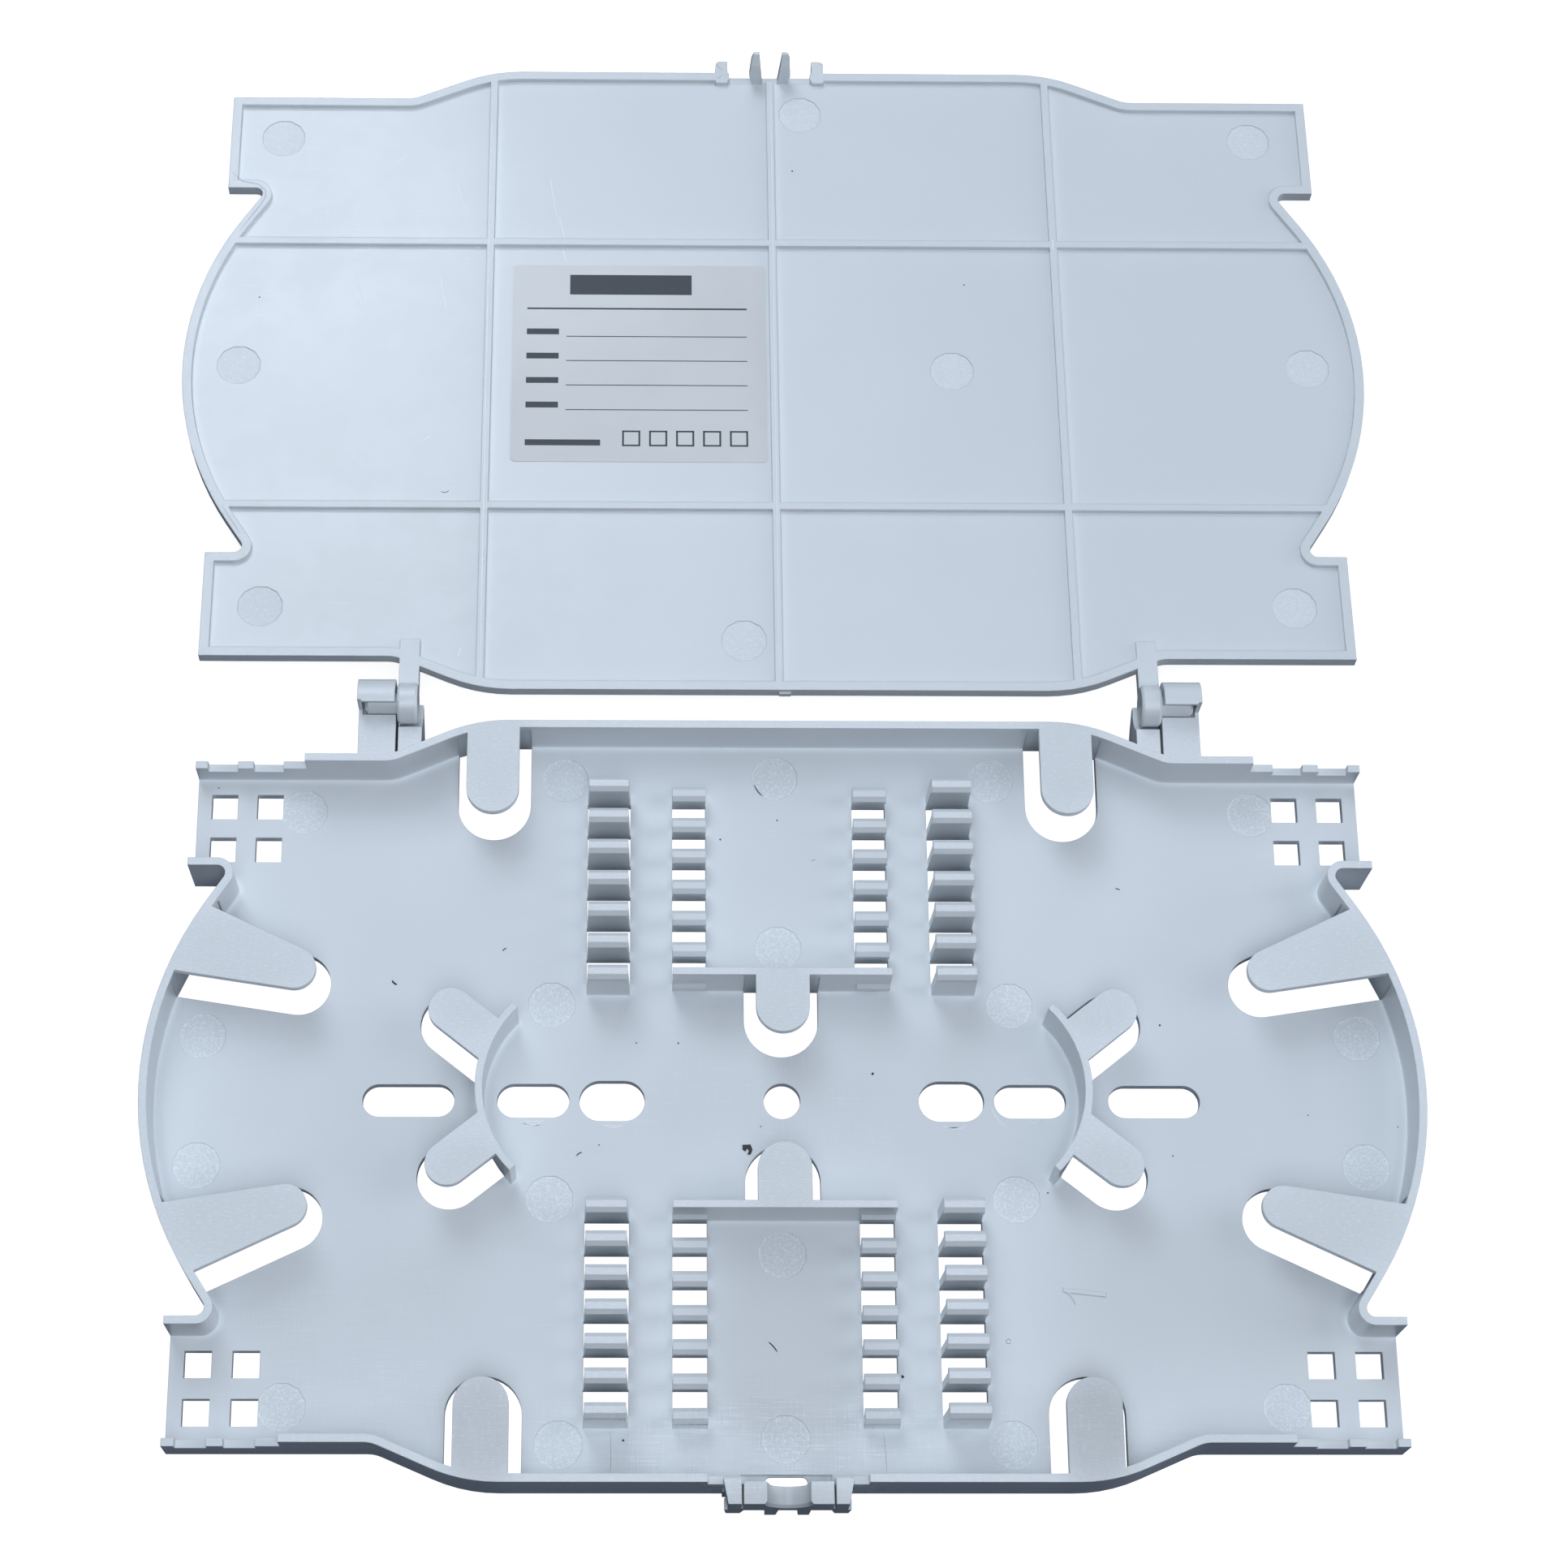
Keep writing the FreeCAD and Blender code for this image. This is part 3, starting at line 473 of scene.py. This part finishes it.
# Charred specks, fibres of swarf and dust seen on the floor and lid
dirt = {
    "specks": ((-15.5, 9.0, 0.16), (-21.8, 9.0, 0.12), (13.7, 4.3, 0.24), (-27.3, -6.8, 0.10),
               (-3.2, -3.9, 0.10), (-86.4, 49.8, 0.12), (57.3, 12.0, 0.15), (78.8, -2.0, 0.10),
               (92.2, -3.8, 0.10), (58.2, -8.3, 0.14), (39.3, -14.0, 0.14), (17.1, -41.4, 0.22),
               (-23.5, -50.7, 0.18), (-9.0, 41.6, 0.14), (-0.2, 44.8, 0.12)),
    "hairs": (((-30.7, -8.5), (-29.8, -7.9), 0.14, 0.1), ((-2.4, -36.3), (-1.1, -37.8), 0.17, 0.05),
              ((-58.8, 18.8), (-58.0, 18.1), 0.26, -0.12), ((51.6, 33.9), (52.3, 33.6), 0.14, 0.0),
              ((-3.7, 50.7), (-2.4, 48.8), 0.13, -0.07), ((-42.2, 23.5), (-41.6, 24.0), 0.14, 0.05)),
    "lidSpecks": ((3.55, -38.7, 0.18), (31.3, -16.5, 0.14), (-83.4, -13.4, 0.16)),
    "lidHairs": (((-53.0, 22.7), (-51.7, 22.5), 0.1, 0.25),),
    "fleck": ((-5.95, -6.75), (-4.75, -6.7), (-4.45, -7.5), (-4.75, -8.2), (-5.2, -8.25), (-5.0, -7.6),
              (-5.3, -7.3), (-5.5, -7.75), (-5.95, -7.45)),
    "thick": 0.06, "root": 0.01, "fleckRise": 0.06, "corners": 7, "ragged": (0.7, 1.2), "seed": 7,
}


def addSpeck(mesh, x, y, radius, low, high, where, draw, look=dirt):
    corners = []
    for i in range(look["corners"]):
        angle = i * math.pi / (look["corners"] / 2)
        across = radius * draw.uniform(*look["ragged"]) * math.cos(angle)
        along = radius * draw.uniform(*look["ragged"]) * math.sin(angle)
        corners.append((x + across, y + along))
    addPatch(mesh, corners, low, high, where)


def fillTrayDirt(mesh, look=dirt):
    draw = random.Random(look["seed"])
    low, high = trayFloor - look["root"], trayFloor + look["thick"]
    for x, y, radius in look["specks"]:
        addSpeck(mesh, x, y, radius, low, high, onTray, draw)
    for start, end, width, bend in look["hairs"]:
        path = between(start, end, 5, bend)
        addStrip(mesh, path, tapered(path, width), low, high, onTray)
    addPatch(mesh, look["fleck"], low, high + look["fleckRise"], onTray)


def fillLidDirt(mesh, look=dirt):
    draw = random.Random(look["seed"])
    low, high = lidFace + look["root"], lidFace - look["thick"] / 2
    for x, y, radius in look["lidSpecks"]:
        addSpeck(mesh, x, y, radius, low, high, onLid, draw)
    for start, end, width, bend in look["lidHairs"]:
        path = between(start, end, 6, bend)
        addStrip(mesh, path, tapered(path, width), low, high, onLid)


detail("TraySpecks", fillTrayDirt, dirtMaterial, "base")
detail("LidSpecks", fillLidDirt, dirtMaterial, "lid")
print("stage: specks")


# Hairlines of the mould inserts and the flow lines that cold plastic left on the lid's rim
hairlines = {
    "tray": (((-25.4, -49.3), (-25.3, -55.8), 0.07), ((14.1, -49.3), (14.5, -55.8), 0.07),
             ((4.9, 38.15), (5.65, 38.4), 0.1)),
    "ring": (32.7, -36.2, 0.35, 0, 340, 12),
    "lid": (((-89.1, -37.4), (-87.2, -35.5), (-84.5, -34.9), (-83.3, -33.7), (-83.3, -32.3), (-84.2, -30.6),
             (-85.4, -28.7), (-87.2, -25.7)),
            ((-8.8, -60.0), (-8.75, -59.5), (-8.3, -58.9), (-7.6, -58.5)),
            ((8.5, -60.1), (8.8, -59.8), (8.4, -59.6)),
            ((-87.2, 26.0), (-86.0, 28.0), (-84.9, 29.7), (-84.2, 31.0)),
            ((-7.9, -57.8), (-8.4, -56.9), (-9.0, -57.2))),
    "width": 0.1, "thick": 0.012, "root": 0.01, "bend": 0.01,
}


def fillTrayHairlines(mesh, look=hairlines):
    low, high = trayFloor - look["root"], trayFloor + look["thick"]
    for start, end, width in look["tray"]:
        path = between(start, end, 4, look["bend"])
        addStrip(mesh, path, tapered(path, width), low, high, onTray)
    path = arcPoints(*look["ring"])
    addStrip(mesh, path, tapered(path, look["width"]), low, high, onTray)


def fillLidHairlines(mesh, look=hairlines):
    low, high = lidRim + look["root"], lidRim - look["thick"]
    for path in look["lid"]:
        addStrip(mesh, path, tapered(path, look["width"]), low, high, onLid)


detail("TrayHairlines", fillTrayHairlines, hairMaterial, "base")
detail("LidFlowLines", fillLidHairlines, hairMaterial, "lid")
print("stage: hairlines")


# Whitened rubs beside the slots and on the floor, and long scratches down the lid and its ribs
rubs = {
    "arcs": ((-37.2, 0.0, 3.3, 240, 300), (-37.2, 0.0, 3.7, 238, 302), (37.2, 0.0, 3.3, 240, 300),
             (25.4, 0.0, 4.0, 240, 300), (-25.4, 0.0, 4.0, 240, 300), (35.2, 0.0, 4.1, 195, 255)),
    "sweep": (20, 60), "leastSweep": 25, "jitter": 0.12, "width": 0.09, "spread": (0.6, 1.6),
    "thick": 0.012, "root": 0.01, "trayBend": 0.04, "lidBend": 0.02, "repeats": 3, "seed": 3,
    "tray": (((-36.1, -33.9), (-34.0, -33.9), 0.09), ((36.2, 3.4), (38.2, 3.7), 0.08),
             ((-32.8, 46.6), (-29.9, 46.4), 0.07), ((6.0, 29.2), (7.6, 29.6), 0.07)),
    "lid": (((-36.5, -37.4), (-34.8, -27.4), 0.14), ((-34.9, -29.6), (-33.9, -24.8), 0.16),
            ((-34.3, -23.2), (-33.6, -20.3), 0.2), ((-68.5, -21.1), (-66.0, -12.0), 0.14),
            ((-68.0, -14.2), (-66.4, -11.4), 0.12), ((-54.1, -17.7), (-52.9, -10.7), 0.1),
            ((-49.1, 50.4), (-49.5, 51.9), 0.16), ((-62.0, -40.0), (-60.4, -41.6), 0.1),
            ((-52.0, -36.0), (-49.6, -29.0), 0.08), ((-56.2, 13.4), (-54.8, 12.4), 0.1),
            ((-47.7, -23.4), (-48.6, -23.3), 0.4)),
    "ribs": (((-46.5, -52.6), (-46.05, 55.0), 0.16), ((0.15, -55.0), (0.05, 55.0), 0.08),
             ((46.1, -25.0), (46.0, -22.9), 0.22)),
}


def fillTrayRubs(mesh, look=rubs):
    draw = random.Random(look["seed"])
    low, high = trayFloor - look["root"], trayFloor + look["thick"]
    for x, y, radius, start, end in look["arcs"]:
        for i in range(look["repeats"]):
            begin = draw.uniform(start, end - look["leastSweep"])
            stop = min(begin + draw.uniform(*look["sweep"]), end)
            path = arcPoints(x + draw.gauss(0, 1) * look["jitter"], y + draw.gauss(0, 1) * look["jitter"],
                             radius, begin, stop)
            width = look["width"] * draw.uniform(*look["spread"])
            addStrip(mesh, path, tapered(path, width), low, high, onTray)
    for start, end, width in look["tray"]:
        path = between(start, end, 4, look["trayBend"])
        addStrip(mesh, path, tapered(path, width), low, high, onTray)


def fillLidRubs(mesh, look=rubs):
    for start, end, width in look["lid"]:
        path = between(start, end, 6, look["lidBend"])
        addStrip(mesh, path, tapered(path, width), lidFace + look["root"], lidFace - look["thick"], onLid)
    for start, end, width in look["ribs"]:
        path = between(start, end, 8)
        addStrip(mesh, path, tapered(path, width), lidRim + look["root"], lidRim - look["thick"], onLid)


detail("TrayRubs", fillTrayRubs, rubMaterial, "base")
detail("LidScratches", fillLidRubs, rubMaterial, "lid")
print("stage: rubs")


# Pale studio floor: near white to the camera and under its own soft shadow, dark to bounced light
stageLook = {
    "size": 3.0, "centreY": 60 * mm, "drop": 0.05 * mm, "glow": 0.9, "white": 0.42, "bounce": "#364659",
}


def buildStage(look):
    material, tree = newMaterial("StudioFloorPaper")
    path = node(tree, "ShaderNodeLightPath").outputs["Is Camera Ray"]
    seen = node(tree, "ShaderNodeAddShader", {
        0: node(tree, "ShaderNodeEmission", {"Color": (1, 1, 1, 1), "Strength": look["glow"]}).outputs[0],
        1: node(tree, "ShaderNodeBsdfDiffuse", {"Color": (look["white"],) * 3 + (1,)}).outputs[0],
    }).outputs[0]
    other = node(tree, "ShaderNodeBsdfDiffuse", {"Color": linear(look["bounce"])}).outputs[0]
    mixed = node(tree, "ShaderNodeMixShader", {0: path, 1: other, 2: seen}).outputs[0]
    node(tree, "ShaderNodeOutputMaterial", {"Surface": mixed})
    half = look["size"] / 2
    data = bpy.data.meshes.new("StudioFloor")
    corners = [(-half, -half, 0), (half, -half, 0), (half, half, 0), (-half, half, 0)]
    data.from_pydata(corners, [], [(0, 1, 2, 3)])
    data.materials.append(material)
    floor = bpy.data.objects.new("StudioFloor", data)
    floor.location = (0, look["centreY"], cadBox[0][2] - look["drop"])
    bpy.context.scene.collection.objects.link(floor)


buildStage(stageLook)

# Soft boxes one metre away: azimuth from +Y towards +X, elevation, side in metres, watts, colour
lights = {
    "KeyRearLeft": (338, 46, 0.40, 2.0, "#F0F6FF"),
    "TopFront": (180, 80, 0.50, 2.52, "#EDF4FF"),
    "FrontHigh": (180, 62, 0.50, 2.17, "#EEF4FF"),
    "RearHigh": (345, 62, 0.50, 1.37, "#E6F2FF"),
    "RearLow": (0, 30, 0.50, 0.86, "#E4F2FF"),
    "RightLow": (90, 12, 0.50, 2.97, "#F2F4FF"),
    "RightMid": (90, 45, 0.50, 1.37, "#F0F4FF"),
    "LeftLow": (270, 12, 0.50, 0.86, "#EDF4FF"),
}
lightAim = Vector((0, 50 * mm, 0))
for name, (azimuth, elevation, side, watts, tint) in lights.items():
    data = bpy.data.lights.new(name, "AREA")
    data.shape = "SQUARE"
    data.size = side
    data.energy = watts
    data.color = linear(tint)[:3]
    lamp = bpy.data.objects.new(name, data)
    turn, rise = math.radians(azimuth), math.radians(elevation)
    away = Vector((math.sin(turn) * math.cos(rise), math.cos(turn) * math.cos(rise), math.sin(rise)))
    lamp.location = lightAim + away
    lamp.rotation_euler = (-away).to_track_quat("-Z", "Y").to_euler()
    bpy.context.scene.collection.objects.link(lamp)

# Faint blue air lights the part from all round, and the camera sees white behind it
airLook = {"colour": "#C8DCFF", "strength": 0.035}
world = bpy.data.worlds.new("StudioAir")
world.use_nodes = True
world.node_tree.nodes.clear()
air = node(world.node_tree, "ShaderNodeBackground", {
    "Color": linear(airLook["colour"]), "Strength": airLook["strength"],
}).outputs[0]
white = node(world.node_tree, "ShaderNodeBackground", {"Color": (1, 1, 1, 1), "Strength": 1.0}).outputs[0]
seenSky = node(world.node_tree, "ShaderNodeLightPath").outputs["Is Camera Ray"]
both = node(world.node_tree, "ShaderNodeMixShader", {0: seenSky, 1: air, 2: white}).outputs[0]
node(world.node_tree, "ShaderNodeOutputWorld", {"Surface": both})
bpy.context.scene.world = world
print("stage: studio")


# Camera solved from the straight and round edges in the photograph
view = {
    "elevation": 68.987, "yaw": 2.349, "roll": -2.390, "focalPx": 4261.3, "imagePx": 1932, "filmMm": 36.0,
    "centrePx": (846.92, 956.69), "distance": 537.77 * mm, "target": (-14.012 * mm, 52.632 * mm, 0.0),
}


def placeCamera(look):
    tilt = math.radians(look["elevation"])
    level = Matrix(((1, 0, 0), (0, math.sin(tilt), math.cos(tilt)), (0, math.cos(tilt), -math.sin(tilt))))
    turn = Matrix.Rotation(math.radians(look["yaw"]), 3, "Z")
    roll = Matrix.Rotation(math.radians(look["roll"]), 3, "Z")
    right, upward, forward = (roll @ level @ turn)
    data = bpy.data.cameras.new("Camera")
    data.sensor_width = look["filmMm"]
    data.lens = look["filmMm"] * look["focalPx"] / look["imagePx"]
    middle = look["imagePx"] / 2
    data.shift_x = (middle - look["centrePx"][0]) / look["imagePx"]
    data.shift_y = (look["centrePx"][1] - middle) / look["imagePx"]
    data.clip_start = 10 * mm
    camera = bpy.data.objects.new("Camera", data)
    axes = Matrix((right, upward, -forward)).transposed().to_4x4()
    spotAt = Vector(look["target"]) - look["distance"] * forward
    camera.matrix_world = Matrix.Translation(spotAt) @ axes
    bpy.context.scene.collection.objects.link(camera)
    bpy.context.scene.camera = camera


placeCamera(view)
bpy.context.scene.view_settings.view_transform = "Standard"
bpy.context.scene.view_settings.look = "None"
print("stage: camera")

bpy.context.view_layer.update()
